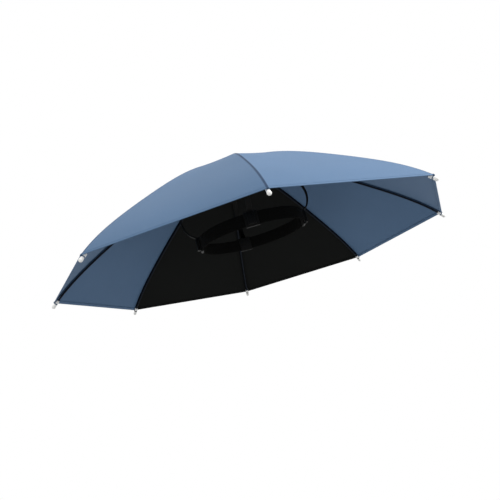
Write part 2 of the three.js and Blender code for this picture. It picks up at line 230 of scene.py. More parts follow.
class UmbrellaHat(bpy.types.PropertyGroup):
    """Everything that a user may change"""

    canopy: PointerProperty(type=CanopySizes)
    ribs: PointerProperty(type=RibSizes)
    centre: PointerProperty(type=CentreSizes)
    band: PointerProperty(type=BandSizes)
    clips: PointerProperty(type=ClipSizes)
    arms: PointerProperty(type=ArmSizes)
    finishes: PointerProperty(type=Finishes)
    stage: PointerProperty(type=StageSizes)


# Shapes that several pieces share

class Form:
    """The hat's curves, worked out from its sizes."""

    def __init__(self, hat):
        self.canopy, self.ribs, self.band = hat.canopy, hat.ribs, hat.band
        self.step = 2 * np.pi / self.canopy.panels
        self.half_step = self.step / 2
        slope = np.arctan(self.seam_slope(self.canopy.tip_radius))
        panel_slope = self.panel_slope(self.canopy.tip_radius)
        share = np.sin(slope) * np.sin(panel_slope) * np.cos(self.half_step)
        share += np.cos(slope) * np.cos(panel_slope)
        self.rib_drop = (CAD_CLOTH + CLEARANCE + self.ribs.barrel) / share

    def seam_level(self, radius):
        """Level of a seam: the height times an even curve of the sixth degree in the share of the way out."""
        c, u = self.canopy, radius / self.canopy.tip_radius
        fall = 1 - c.roundness + c.flatness
        return c.height * (1 - c.roundness * u**2 + c.flatness * u**4 - fall * u**6) - c.tips_below_band

    def seam_slope(self, radius):
        """Downward slope of that curve, as a tangent."""
        c, u = self.canopy, radius / self.canopy.tip_radius
        fall = 1 - c.roundness + c.flatness
        return c.height / c.tip_radius * (2 * c.roundness * u - 4 * c.flatness * u**3 + 6 * fall * u**5)

    def panel_slope(self, radius):
        """Slope of a panel down its middle, as an angle: the seam's fall over the panel's shorter way out."""
        return np.arctan(self.seam_slope(radius) / np.cos(self.half_step))

    def seam_half_fold(self, radius):
        """Half the angle between the two panels that meet at a seam, away from flat."""
        return np.arcsin(np.sin(self.panel_slope(radius)) * np.sin(self.half_step))

    def under_seam(self, radius, depth):
        """Points in the plane of X and Z that lie at a depth under a seam, square to it."""
        slope = np.arctan(self.seam_slope(radius))
        radius, depth = np.broadcast_arrays(radius, depth)
        return np.stack([radius - depth * np.sin(slope), np.zeros(radius.shape),
                         self.seam_level(radius) - depth * np.cos(slope)], axis=-1)

    def tip_direction(self):
        """Direction of a rib's outer end, in the plane of X and Z."""
        slope = np.arctan(self.seam_slope(self.canopy.tip_radius))
        return np.array([np.cos(slope), 0, -np.sin(slope)])

    def seat(self):
        """Turn of the headband, front low and one side high, and the place of its middle."""
        pitched = np.array(Euler((self.band.pitch, 0, 0)).to_matrix())
        rolled = np.array(Euler((0, -self.band.roll, 0)).to_matrix())
        return pitched @ rolled, np.array([self.band.shift, 0, 0])

    def band_turn(self, side_angle):
        """The ellipse's own angle where the upright half-plane at an angle cuts the band."""
        b = self.band
        a = np.cos(side_angle) ** 2 + (b.half_width / b.half_length * np.sin(side_angle)) ** 2
        half = -b.shift * np.cos(side_angle)
        reach = (-half + np.sqrt(half**2 - a * (b.shift**2 - b.half_width**2))) / a
        return np.arctan2(reach * np.sin(side_angle) / b.half_length,
                          (reach * np.cos(side_angle) - b.shift) / b.half_width)

    def on_band(self, turn, outwards, up):
        """Points off the band's middle line: the ellipse's point, plus its normal and the band's own up."""
        b = self.band
        place = np.stack([b.half_width * np.cos(turn), b.half_length * np.sin(turn), 0 * turn], axis=-1)
        normal = np.stack([b.half_length * np.cos(turn), b.half_width * np.sin(turn), 0 * turn], axis=-1)
        normal /= np.linalg.norm(normal, axis=-1, keepdims=True)
        flat = place + normal * outwards[..., None] + np.array([0, 0, 1]) * up[..., None]
        spin, middle = self.seat()
        return flat @ spin.T + middle


def about_axis(points, side_angle):
    """Points turned round the canopy's axis."""
    c, s = np.cos(side_angle), np.sin(side_angle)
    return points @ np.array([[c, s, 0], [-s, c, 0], [0, 0, 1]])


def spline(knots, samples=24):
    """Centripetal Catmull-Rom curve through points: on each stretch a cubic whose end slopes come from the
    neighbours, weighted by the square roots of the distances."""
    knots = np.asarray(knots, float)
    ends = 2 * knots[[0, -1]] - knots[[1, -2]]
    p = np.concatenate([ends[:1], knots, ends[1:]])
    p0, p1, p2, p3 = (p[i:len(p) - 3 + i, None] for i in range(4))
    d0, d1, d2 = (np.linalg.norm(b - a, axis=-1, keepdims=True) ** 0.5
                  for a, b in ((p0, p1), (p1, p2), (p2, p3)))
    out_of = ((p1 - p0) / d0 - (p2 - p0) / (d0 + d1) + (p2 - p1) / d1) * d1
    into = ((p2 - p1) / d1 - (p3 - p1) / (d1 + d2) + (p3 - p2) / d2) * d1
    t = np.linspace(0, 1, samples, endpoint=False)[None, :, None]
    curve = (p1 * (2 * t**3 - 3 * t**2 + 1) + out_of * (t**3 - 2 * t**2 + t)
             + p2 * (3 * t**2 - 2 * t**3) + into * (t**3 - t**2))
    return np.concatenate([curve.reshape(-1, knots.shape[1]), knots[-1:]])


def evenly(line, count):
    """The line again, with a number of points at even distances along it."""
    along = np.concatenate([[0], np.cumsum(np.linalg.norm(np.diff(line, axis=0), axis=1))])
    at = np.linspace(0, along[-1], count)
    return np.stack([np.interp(at, along, line[:, k]) for k in range(line.shape[1])], axis=-1)


def rounded(corners, radii, steps=5):
    """Open outline in two dimensions whose corners are rounded: each corner gives way to a quadratic curve
    that starts and ends the radius away from it."""
    corners, radii = np.asarray(corners, float), np.asarray(radii, float)[:, None]
    before = corners - np.roll(corners, 1, axis=0)
    after = np.roll(corners, -1, axis=0) - corners
    start = corners - before / np.maximum(np.linalg.norm(before, axis=1, keepdims=True), 1e-9) * radii
    stop = corners + after / np.maximum(np.linalg.norm(after, axis=1, keepdims=True), 1e-9) * radii
    t = np.linspace(0, 1, steps)[None, :, None]
    curve = start[:, None] * (1 - t) ** 2 + 2 * corners[:, None] * t * (1 - t) + stop[:, None] * t**2
    kept = [curve[i] if radii[i] > 0 else corners[i:i + 1] for i in range(len(corners))]
    return np.concatenate(kept)


def box_outline(half_x, half_y, corner, steps=5):
    """Closed rectangle with round corners, anticlockwise: each quarter circle is pushed out to its corner."""
    quarter = np.linspace(0, np.pi / 2, steps)
    turn = quarter + np.arange(4)[:, None] * np.pi / 2
    signs = np.array([[1, 1], [-1, 1], [-1, -1], [1, -1]])[:, None]
    core = signs * np.array([half_x - corner, half_y - corner])
    return (core + corner * np.stack([np.cos(turn), np.sin(turn)], axis=-1)).reshape(-1, 2)


def circle(count, radius=1.0):
    """Closed circle, anticlockwise."""
    turn = np.arange(count) * 2 * np.pi / count
    return radius * np.stack([np.cos(turn), np.sin(turn)], axis=-1)


def swept(line, across, through, outline):
    """Section carried along a line: the outline's first column goes across, its second through."""
    return line[:, None] + outline[..., :1] * across[:, None] + outline[..., 1:] * through[:, None]


def tangents(line):
    """Unit directions along a line."""
    steps = np.gradient(line, axis=0)
    return steps / np.linalg.norm(steps, axis=1, keepdims=True)


# Meshes

UV_MAP = "thread"


class Surface:
    """A grid of points, closed along its rows or columns where it says so. Its measure in metres along either
    side becomes its UV map, keep picks the quads that are made, and marks are numbers on its points."""

    def __init__(self, points, round_rows=False, round_columns=False, capped=False, keep=None, marks=None):
        self.points = points
        self.round_rows, self.round_columns, self.capped = round_rows, round_columns, capped
        self.keep, self.marks = keep, marks or {}

    def measure(self, axis, closed):
        """Mean distance along one side of the grid, from nought."""
        p = np.concatenate([self.points, np.take(self.points, [0], axis)], axis) if closed else self.points
        steps = np.linalg.norm(np.diff(p, axis=axis), axis=-1).mean(axis=1 - axis)
        return np.concatenate([[0], np.cumsum(steps)])

    def faces(self):
        """Numbers of the points that are used, the faces on those points, quads first and then the caps, and
        the UVs of their corners. A closed surface whose volume comes out negative is turned inside out."""
        rows, columns = self.points.shape[:2]
        r, c = np.meshgrid(np.arange(rows if self.round_rows else rows - 1),
                           np.arange(columns if self.round_columns else columns - 1), indexing="ij")
        if self.keep is not None:
            r, c = r[self.keep], c[self.keep]
        r, c = r.ravel(), c.ravel()
        corners = [(r, c), (r, c + 1), (r + 1, c + 1), (r + 1, c)]
        quads = np.stack([i % rows * columns + j % columns for i, j in corners], axis=-1)
        a, b, d, e = self.points.reshape(-1, 3)[quads.T]
        used = np.unique(quads)
        u, v = self.measure(1, self.round_columns), self.measure(0, self.round_rows)
        uvs = np.stack([np.stack([u[j], v[i]], axis=-1) for i, j in corners], axis=1)
        faces, maps = np.searchsorted(used, quads).tolist(), [uvs.reshape(-1, 2)]
        if self.capped:
            across = np.arange(columns)
            faces += [across[::-1].tolist(), (across + (rows - 1) * columns).tolist()]
            maps.append(np.stack([u[across[::-1]], 0 * across], axis=-1))
            maps.append(np.stack([u[across], 0 * across + v[-1]], axis=-1))
        volume = (np.cross(a, b) * (d + e)).sum() + (np.cross(d, e) * (a + b)).sum()
        if self.round_columns and (self.round_rows or self.capped) and volume < 0:
            faces = [face[::-1] for face in faces]
            maps = [uvs[:, ::-1].reshape(-1, 2)] + [corner_uvs[::-1] for corner_uvs in maps[1:]]
        return used, faces, np.concatenate(maps)


def solid(points):
    """Closed body from rings of points, one to a row, with a flat cap on the first and the last."""
    return Surface(points, round_columns=True, capped=True)


def hoop(points):
    """Closed body whose last ring of points joins the first."""
    return Surface(points, round_rows=True, round_columns=True)


def add(name, data):
    """Object in the scene with that data."""
    made = bpy.data.objects.new(name, data)
    bpy.context.scene.collection.objects.link(made)
    return made


def piece(name, surfaces, material, replaces=(), sharp=40.0):
    """One object from surfaces, smooth but for edges sharper than an angle, riding on the hat's one body."""
    points, faces, maps, start = [], [], [], 0
    marks = {key: [] for key in surfaces[0].marks}
    for surface in surfaces:
        used, own, uvs = surface.faces()
        faces += [[start + corner for corner in face] for face in own] if start else own
        points.append(surface.points.reshape(-1, 3)[used])
        maps.append(uvs)
        for key, values in marks.items():
            values.append(np.broadcast_to(surface.marks[key], surface.points.shape[:2]).ravel()[used])
        start += len(used)
    mesh = bpy.data.meshes.new(name)
    mesh.from_pydata(np.concatenate(points).tolist(), [], faces)
    uv_map = mesh.uv_layers.new(name=UV_MAP)
    uv_map.uv.foreach_set("vector", np.concatenate(maps).astype(np.float32).ravel())
    for key, values in marks.items():
        mesh.attributes.new(key, "FLOAT", "POINT").data.foreach_set("value", np.concatenate(values))
    mesh.polygons.foreach_set("use_smooth", np.ones(len(mesh.polygons), bool))
    mesh.update()
    mesh.set_sharp_from_angle(angle=np.radians(sharp))
    if mesh.validate():
        raise RuntimeError(f"{name} has faces that aren't sound")
    mesh.materials.append(material)
    made = add(name, mesh)
    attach(made, "root")
    if replaces:
        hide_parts(*replaces)
    return made


def turned(profile, count=64):
    """Body turned round Z from a profile of distances from the axis and levels. Its ends are flat caps."""
    round_axis = np.insert(circle(count), 2, 1, axis=1)
    return solid(profile[:, None, [0, 0, 1]] * round_axis)


def copies(template, places, frames):
    """A small closed surface repeated: its own three directions are the rows of each frame."""
    grids = places[:, None] + template.points.reshape(-1, 3) @ frames
    return [solid(grid.reshape(template.points.shape)) for grid in grids]


# Materials

class Wire:
    """A shader socket that takes Python's operators. Each operator adds a Math node."""

    def __init__(self, graph, socket):
        self.graph, self.socket = graph, socket

    def math(self, operation, *others):
        """Math node with this socket first."""
        return self.graph.node("ShaderNodeMath", {"operation": operation}, dict(enumerate((self, *others))))

    def __add__(self, other):
        return self.math("ADD", other)

    def __radd__(self, other):
        return self.math("ADD", other)

    def __sub__(self, other):
        return self.math("SUBTRACT", other)

    def __rsub__(self, other):
        return self.graph.node("ShaderNodeMath", {"operation": "SUBTRACT"}, {0: other, 1: self})

    def __mul__(self, other):
        return self.math("MULTIPLY", other)

    def __rmul__(self, other):
        return self.math("MULTIPLY", other)

    def sine(self):
        """Sine, in radians."""
        return self.math("SINE")

    def size(self):
        """Value without its sign."""
        return self.math("ABSOLUTE")

    def over(self, other):
        """One where this is greater, else nought."""
        return self.math("GREATER_THAN", other)


class Graph:
    """A material's nodes, made one at a time."""

    def __init__(self, name):
        self.material = bpy.data.materials.new(name)
        self.material.use_nodes = True
        self.tree = self.material.node_tree
        self.shader = self.tree.nodes["Principled BSDF"]

    def node(self, kind, settings=None, inputs=None, output=0):
        """A node: its settings are made first, then its sockets' values or links. One output comes back."""
        node = self.tree.nodes.new(kind)
        for key, value in (settings or {}).items():
            setattr(node, key, value)
        for key, value in (inputs or {}).items():
            self.put(node.inputs[key], value)
        return Wire(self, node.outputs[output])

    def put(self, socket, value):
        """Links a wire to a socket, or sets its value."""
        if isinstance(value, Wire):
            self.tree.links.new(value.socket, socket)
        else:
            socket.default_value = value

    def set(self, **values):
        """Sets or links the shader's sockets, whose names are given with underscores."""
        for key, value in values.items():
            self.put(self.shader.inputs[key.replace("_", " ")], value)

    def place(self):
        """Object coordinates in metres."""
        return self.node("ShaderNodeTexCoord", output=3)

    def uv(self):
        """The piece's own UV map, in metres."""
        return self.node("ShaderNodeUVMap", {"uv_map": UV_MAP})

    def along(self, uv):
        """The two parts of a UV map: across and along."""
        return [self.node("ShaderNodeSeparateXYZ", inputs={0: uv}, output=k) for k in range(2)]

    def mark(self, name):
        """A number kept on the mesh's points."""
        return self.node("ShaderNodeAttribute", {"attribute_name": name}, output=2)

    def noise(self, vector, scale=1.0, detail=2.0):
        """Noise from nought to one."""
        return self.node("ShaderNodeTexNoise", inputs={"Vector": vector, "Scale": scale, "Detail": detail})

    def grain(self, uv, across, along, detail=2.0):
        """Noise with that many waves to the metre across and along the piece's UV map."""
        waves = {0: uv, 1: (across, along, 1)}
        return self.noise(self.node("ShaderNodeVectorMath", {"operation": "MULTIPLY"}, waves), detail=detail)

    def mix(self, factor, one, other):
        """Colours mixed by a factor."""
        return self.node("ShaderNodeMix", {"data_type": "RGBA", "clamp_factor": True},
                         {0: factor, 6: one, 7: other}, output=2)

    def shade(self, base, amount):
        """A colour made lighter or darker, times a number close to one."""
        return self.node("ShaderNodeVectorMath", {"operation": "SCALE"}, {0: base, "Scale": amount})

    def bump(self, height, distance, strength, normal=None):
        """Normal from a height from nought to one over a distance in metres."""
        inputs = {"Height": height, "Distance": distance, "Strength": strength}
        if normal is not None:
            inputs["Normal"] = normal
        return self.node("ShaderNodeBump", inputs=inputs)


def wave(phase, pitch):
    """Even wave from nought to one, one to each pitch."""
    return (phase * (2 * np.pi / pitch)).sine() * 0.5 + 0.5


SEAM_SHADE_SHARE = (0.28, 0.34, 0.42)    # of the cloth's colour that is left under the painted shade where it turns into a seam
CLOTH_PITCH = 0.00042              # one thread of the weave to the next
SLUB = (40, 900)                   # uneven threads: waves to the metre along a thread and across it
PUCKERS = (60, 160)                # waves to the metre across and along a panel
TWILL_PITCH = 0.0007               # one rib of the tape's twill to the next
TWIST_PITCH = 0.0004               # one strand of a thread to the next
WEFT_PITCH = 0.0008                # one cross thread of the elastic to the next
WAVER, WAVER_PITCH = 0.00025, 0.0011    # how far and how often those threads waver


def cloth_finish(name, base, sheen=0.03, ior=1.3):
    """Fine plain weave: threads cross over and under by turns, and none is quite like the next. Painted shade
    darkens the cloth where it turns into a seam or a fold, and the cloth puckers a little beside the seams."""
    g = Graph(name)
    uv = g.uv()
    across, along = g.along(uv)
    thread = np.pi / CLOTH_PITCH
    warp, weft = (across * thread).sine(), (along * thread).sine()
    over = (warp * weft).over(0.0)
    weave = (warp.size() * over) + (weft.size() * (1 - over))
    slub = g.grain(uv, *SLUB) + g.grain(uv, *SLUB[::-1])
    drift = g.noise(g.place(), 9.0, 3.0)
    pucker = g.grain(uv, *PUCKERS) * g.mark("seam_near")
    tone = 0.86 + drift * 0.16 + slub * 0.05 + weave * 0.04
    # Painted shade along the seams: a darker copy of the cloth's colour, mixed in by the mesh's fold mark
    seam_shaded = [channel * share for channel, share in zip(base, SEAM_SHADE_SHARE)]
    colour_here = g.mix(g.mark("fold"), (*base, 1), (*seam_shaded, 1))
    puckered = g.bump(pucker, 0.0012, 0.6)
    g.set(Base_Color=g.shade(colour_here, tone), Roughness=0.66 + slub * 0.06, Sheen_Weight=sheen,
          Sheen_Roughness=0.4, IOR=ior, Normal=g.bump(weave + slub * 0.3, 0.00005, 0.55, puckered))
    return g.material


def tape_finish(name, base):
    """Narrow twill tape: slanting ribs across it, and fluff."""
    g = Graph(name)
    uv = g.uv()
    across, along = g.along(uv)
    twill = wave(across + along, TWILL_PITCH)
    fluff = g.grain(uv, 1200, 1200)
    g.set(Base_Color=g.shade(base, 0.8 + twill * 0.3 + fluff * 0.2), Roughness=0.85, IOR=1.15,
          Normal=g.bump(twill + fluff * 0.4, 0.0001, 0.7))
    return g.material


def thread_finish(name, base):
    """Twisted thread: fine slanting strands."""
    g = Graph(name)
    across, along = g.along(g.uv())
    twist = wave(across * 2 + along, TWIST_PITCH)
    g.set(Base_Color=g.shade(base, 0.8 + twist * 0.4), Roughness=0.6, IOR=1.2,
          Normal=g.bump(twist, 0.00005, 0.6))
    return g.material


def elastic_finish(name, base):
    """Woven elastic: fine cross threads that waver between the lengthwise cords, fluff and uneven wear."""
    g = Graph(name)
    uv = g.uv()
    across, along = g.along(uv)
    waver = (across * (2 * np.pi / WAVER_PITCH)).sine() * WAVER
    weft = wave(along + waver, WEFT_PITCH)
    fluff = g.grain(uv, 2500, 2500, 3.0)
    wear = g.noise(g.place(), 30.0, 3.0)
    g.set(Base_Color=g.shade(base, 0.75 + weft * 0.35 + fluff * 0.3 + wear * 0.2), Roughness=0.9,
          IOR=1.12, Normal=g.bump(weft + fluff * 0.5, 0.00012, 0.8))
    return g.material


def plastic_finish(name, base, roughness, speckle=0.02, ior=1.46):
    """Moulded plastic: a faint orange-peel and uneven gloss."""
    g = Graph(name)
    here = g.place()
    peel, haze = g.noise(here, 900.0), g.noise(here, 60.0, 3.0)
    g.set(Base_Color=g.shade(base, 1 - speckle + haze * speckle * 2), IOR=ior,
          Roughness=roughness + haze * 0.12 - 0.06, Normal=g.bump(peel, 0.00004, 0.35))
    return g.material


def paint_finish(name, base):
    """Painted spring steel: smooth, with fine drawing marks along the rod."""
    g = Graph(name)
    drawn = g.grain(g.uv(), 3000, 60)
    g.set(Base_Color=g.shade(base, 0.8 + drawn * 0.4), Roughness=0.42 + drawn * 0.14, IOR=1.2,
          Normal=g.bump(drawn, 0.00003, 0.4))
    return g.material


# How each finish is made, the name of its colour, and what else it takes
FINISHES = {
    "blue_weave": (cloth_finish, "blue", {}),
    "black_weave": (cloth_finish, "black", {"sheen": 0.0, "ior": 1.12}),
    "blue_twill": (tape_finish, "tape", {}),
    "black_twill": (tape_finish, "black_tape", {}),
    "blue_thread": (thread_finish, "thread", {}),
    "black_thread": (thread_finish, "black_tape", {}),
    "painted_steel": (paint_finish, "rib", {}),
    "white_moulding": (plastic_finish, "cap", {"roughness": 0.32}),
    "black_moulding": (plastic_finish, "plastic", {"roughness": 0.46, "speckle": 0.08, "ior": 1.2}),
    "corded_elastic": (elastic_finish, "elastic", {}),
}


def finish_of(name):
    """The material of that finish, made at its first use."""
    make, shade, extra = FINISHES[name]
    base = tuple(getattr(bpy.context.scene.umbrella_hat.finishes, shade))
    return bpy.data.materials.get(name) or make(name, base, **extra)


# Canopy

ROWS = 96                 # points down a panel
FLAT_COLUMNS = 37         # points across the open part of a panel
ROLL_STEPS = 5            # steps round the bend into a seam
STAND_STEPS = 2           # steps down the cloth that stands in a seam
HEM_STEPS = 6             # steps round the hem's fold
TURNED_IN_STEPS = 3       # steps back along the cloth that is turned in
EDGE_COLUMNS = np.array([0.0, 0.0005, 0.001, 0.002, 0.0045])    # from the edge of the open part
SEAM_GAP = 0.00002        # from the cloth that stands in a seam to the seam's middle
HEM_TAKE = 0.0008         # from the end of the turned-in cloth to the end of the hem's fold
SAG_SKEW = 0.8            # under one, the sag is deepest nearer to the middle of the canopy
SEAM_SHADE = (0.0013, 0.0019)    # distances from a seam where the painted shade starts to fade and ends
PUCKER_REACH = 0.02       # distance from a seam at which the puckers are a third as high


def panel_rows(form):
    """Rows of a panel: X and Z of its middle line, its slope there, and how far it is turned in at the hem.

    The middle line lies half the cloth's thickness under the seams' curve. The last rows go round the hem's
    fold, a half circle, and straight back under the cloth."""
    c = form.canopy
    radius = np.linspace(c.centre_hole, c.tip_radius, ROWS)
    slope = form.panel_slope(radius)
    x, z = radius * np.cos(form.half_step), form.seam_level(radius)
    x, z = x - c.cloth / 2 * np.sin(slope), z - c.cloth / 2 * np.cos(slope)
    turn = np.linspace(0, np.pi, HEM_STEPS + 1)[1:]
    back = np.linspace(0, c.hem_width, TURNED_IN_STEPS + 1)[1:]
    ahead = np.concatenate([c.hem_roll * np.sin(turn), -back])
    under = np.concatenate([c.hem_roll * (1 - np.cos(turn)), 2 * c.hem_roll + 0 * back])
    last = slope[-1]
    x = np.concatenate([x, x[-1] + ahead * np.cos(last) - under * np.sin(last)])
    z = np.concatenate([z, z[-1] - ahead * np.sin(last) - under * np.cos(last)])
    slope = np.concatenate([slope, np.full(len(ahead), last)])
    turned_in = np.concatenate([np.zeros(ROWS), np.minimum(under / c.hem_roll, 1)])
    return x, z, slope, turned_in


def panel_surface(form):
    """A panel with its middle along +X: straight across between two seams but for a slight sag.

    At each seam the cloth rolls over through a right angle and half the seam's fold, and then stands in
    the seam. The sag is a parabola across times a half wave down the panel."""
    c = form.canopy
    x, z, slope, turned_in = (v[:, None] for v in panel_rows(form))
    tilt = np.arctan(np.sin(slope) * np.tan(form.half_step))
    gap = c.cloth / 2 + SEAM_GAP
    edge = (c.seam_roll * (1 + np.sin(tilt)) + gap) / np.cos(tilt)
    reach = x * np.tan(form.half_step)
    open_half = reach - edge - HEM_TAKE * turned_in
    close = EDGE_COLUMNS[None] * np.minimum(1, open_half / (4 * EDGE_COLUMNS[-1]))
    inner = np.linspace(-1, 1, FLAT_COLUMNS)[None] * (open_half - close[:, -1:])
    outermost = open_half - close[:, :-1]
    share = np.concatenate([-outermost, inner, outermost[:, ::-1]], 1) / open_half
    way = np.clip((x - x.min()) / (x.max() - x.min()), 0, 1)
    dip = c.sag * (1 - share**2) * np.sin(np.pi * way**SAG_SKEW)
    turn = np.linspace(0, 1, ROLL_STEPS + 1)[1:] * (np.pi / 2 + tilt)
    stand = np.linspace(0, c.seam_depth, STAND_STEPS + 1)[1:]
    end = turn[:, -1:]
    out = np.concatenate([c.seam_roll * np.sin(turn), c.seam_roll * np.sin(end) - stand * np.sin(tilt)], 1)
    down = np.concatenate([c.seam_roll * (1 - np.cos(turn)),
                           c.seam_roll * (1 - np.cos(end)) + stand * np.cos(tilt)], 1)
    y = np.concatenate([-(open_half + out)[:, ::-1], share * open_half, open_half + out], 1)
    depth = np.concatenate([down[:, ::-1], dip, down], 1)
    points = np.stack([x - depth * np.sin(slope), y, z - depth * np.cos(slope)], axis=-1)
    rolled = out.shape[1]
    rows, columns = points.shape[:2]
    r, k = np.meshgrid(np.arange(rows - 1), np.arange(columns - 1), indexing="ij")
    keep = (r < ROWS - 1) | ((k >= rolled) & (k < columns - 1 - rolled))
    from_seam = np.clip(reach - np.abs(y), 0, None)
    # Painted shade: full near each seam's crease, fading out by the further distance
    fold = np.clip((SEAM_SHADE[1] - from_seam) / (SEAM_SHADE[1] - SEAM_SHADE[0]), 0, 1)
    marks = {"fold": fold, "seam_near": np.exp(-from_seam / PUCKER_REACH)}
    return Surface(points, keep=keep, marks={name: value.astype(np.float32) for name, value in marks.items()})


def flat_panel(form):
    """Size of a panel as it was cut: its width at the hem, its length and its area."""
    grid = panel_surface(form)
    p = grid.points
    a, b = p[1:, 1:] - p[:-1, :-1], p[1:, :-1] - p[:-1, 1:]
    area = (np.linalg.norm(np.cross(a, b), axis=-1) * grid.keep).sum() / 2
    across = np.linalg.norm(np.diff(p[ROWS - 1], axis=0), axis=1).sum()
    along = np.linalg.norm(np.diff(p[:, p.shape[1] // 2], axis=0), axis=1).sum()
    return float(across), float(along), float(area)


STITCH_SIDES = 6
STITCH_SHARE = 0.8       # of the pitch that shows as thread
HEM_ROW = 0.8            # place of the hem's stitches, as a share of the turned-in cloth
HEM_ROW_END = 0.004      # last stitch to the seam
TAPE_ROW = 0.8           # place of the tape's stitches, as a share of half its width
TAPE_ROW_ENDS = (0.004, 0.009)    # from the hub's rim and from the corner of the hem
PROUD = 0.15             # of the thread's thickness, hem stitch over the cloth
TAPE_PROUD = 0.00012     # tape stitch over the edge of the tape

# Place along a stitch as a share of its length, then its girth and lift as shares of the thread's thickness
STITCH = ((-0.5, 0.35, -0.3), (-0.38, 0.9, 0), (0, 1.0, 0.12), (0.38, 0.9, 0), (0.5, 0.35, -0.3))


def stitch(form):
    """A stitch along X: a short thread with tapered ends, to be sunk half way into the cloth."""
    c = form.canopy
    along, girth, lift = np.array(STITCH).T
    ring = circle(STITCH_SIDES, c.thread / 2) * girth[:, None, None]
    stations = np.broadcast_to(along[:, None] * c.stitch_pitch * STITCH_SHARE, ring.shape[:2])
    points = np.stack([stations, ring[..., 0], ring[..., 1] + lift[:, None] * c.thread], axis=-1)
    return solid(points)


def hem_stitches(form):
    """A row of stitches along the hem on each face of the cloth, by turns."""
    c = form.canopy
    inset = c.hem_width * HEM_ROW
    radius = c.tip_radius - inset * np.cos(form.panel_slope(c.tip_radius)) / np.cos(form.half_step)
    slope = float(form.panel_slope(radius))
    half = radius * np.sin(form.half_step) - HEM_ROW_END
    y = np.linspace(-half, half, int(2 * half / c.stitch_pitch))
    outside = np.stack([0 * y + radius * np.cos(form.half_step), y, 0 * y + form.seam_level(radius)], axis=-1)
    between = (outside[1:] + outside[:-1]) / 2
    normal = np.array([np.sin(slope), 0, np.cos(slope)])
    made = []
    for sign, depth, seats in ((1, 0.0, outside), (-1, c.cloth + 2 * c.hem_roll, between)):
        frames = np.stack([[0, 1, 0], np.cross(sign * normal, [0, 1, 0]), sign * normal])
        places = seats - normal * (depth - sign * c.thread * PROUD)
        made.append((stitch(form), places, np.broadcast_to(frames, (len(places), 3, 3))))
    return made


TAPE_STATIONS, TAPE_COLUMNS = 90, 13
TAPE_GAP = 0.00001              # between the tape and the cloth
TAPE_CUP = 0.0001               # edges of the tape under its middle, more than the cloth's fold asks
TAPE_ENDS = (0.0025, 0.0006)    # from the hub's rim and from the corner of the hem
TAPE_ROOM = (0.00003, 0.0002)   # between the tape and a rib, and between the tape and a cap
TAPE_THINS = (0.011, 0.007)     # distances from the corner where it starts and ends to thin for the cap


def tape_surface(form, hub_radius):
    """Binding tape under a seam, with the rib along it: flat edges on the cloth and a swelling down the
    middle that meets the rib, a squared parabola high. Towards the cap it thins by the smooth step of three
    times the square less twice the cube."""
    c, ribs = form.canopy, form.ribs
    radius = np.linspace(hub_radius + TAPE_ENDS[0], c.tip_radius - TAPE_ENDS[1], TAPE_STATIONS)
    tilt = np.tan(form.seam_half_fold(radius))[:, None]
    by_rib = form.rib_drop - ribs.radius - c.cloth - TAPE_ROOM[0]
    by_cap = form.rib_drop - ribs.barrel - c.cloth - TAPE_ROOM[1]
    out = np.clip((TAPE_THINS[0] - (c.tip_radius - radius)) / (TAPE_THINS[0] - TAPE_THINS[1]), 0, 1)
    swell = (by_rib + (by_cap - by_rib) * out**2 * (3 - 2 * out))[:, None]
    across = np.linspace(-1, 1, TAPE_COLUMNS)[None]
    top = c.cloth + TAPE_GAP + np.abs(across) * c.tape_width / 2 * tilt + TAPE_CUP * across**2
    bottom = top + c.tape_edge + (swell - c.tape_edge) * (1 - across**2) ** 2
    points = form.under_seam(radius[:, None], np.concatenate([top, bottom[:, ::-1]], 1))
    points[..., 1] = np.concatenate([across, across[:, ::-1]], 1) * c.tape_width / 2
    return solid(points)


def tape_stitches(form, hub_radius):
    """Two rows of stitches that hold the tape, on its underside."""
    c = form.canopy
    radius = np.arange(hub_radius + TAPE_ROW_ENDS[0], c.tip_radius - TAPE_ROW_ENDS[1], c.stitch_pitch)
    slope = np.arctan(form.seam_slope(radius))
    aside = TAPE_ROW * c.tape_width / 2
    depth = c.cloth + aside * np.tan(form.seam_half_fold(radius)) + c.tape_edge + TAPE_PROUD
    along = np.stack([np.cos(slope), 0 * slope, -np.sin(slope)], axis=-1)
    down = np.stack([-np.sin(slope), 0 * slope, -np.cos(slope)], axis=-1)
    frames = np.stack([along, np.cross(down, along), down], axis=1)
    middle = form.under_seam(radius, depth)
    return [(stitch(form), middle + np.array([0, sign * aside, 0]), frames) for sign in (-1, 1)]


def rear_panels(canopy):
    """Numbers of the two black panels."""
    return [canopy.panels // 2, canopy.panels // 2 + 1]


def rib_shades(canopy):
    """Colour of what is sewn along each rib: black where a black panel meets it."""
    rear = rear_panels(canopy)
    return ["black" if k in rear or k - 1 in rear else "blue" for k in range(1, canopy.panels + 1)]


def stitched(rows, side_angles):
    """All the rows of stitches at each angle round the axis, as surfaces."""
    surfaces = []
    for side_angle in side_angles:
        for template, places, frames in rows:
            surfaces += copies(template, about_axis(places, side_angle), about_axis(frames, side_angle))
    return surfaces


class UMBRELLA_HAT_OT_canopy(bpy.types.Operator):
    """Make the cloth panels, with their seams and hems"""

    bl_idname = "umbrella_hat.canopy"
    bl_label = "Canopy"

    def execute(self, context):
        hat = context.scene.umbrella_hat
        form = Form(hat)
        surface = panel_surface(form)
        width, long, area = flat_panel(form)
        for k in range(1, hat.canopy.panels + 1):
            shade = "black" if k in rear_panels(hat.canopy) else "blue"
            placed = Surface(about_axis(surface.points, FRONT + (k - 0.5) * form.step),
                             keep=surface.keep, marks=surface.marks)
            cloth = piece(f"cloth_panel_{k}", [placed], finish_of(f"{shade}_weave"),
                          [f"panel_{k}"], sharp=80)
            wall = cloth.modifiers.new("Cloth", "SOLIDIFY")
            wall.thickness, wall.offset = hat.canopy.cloth, 0
        return {"FINISHED"}


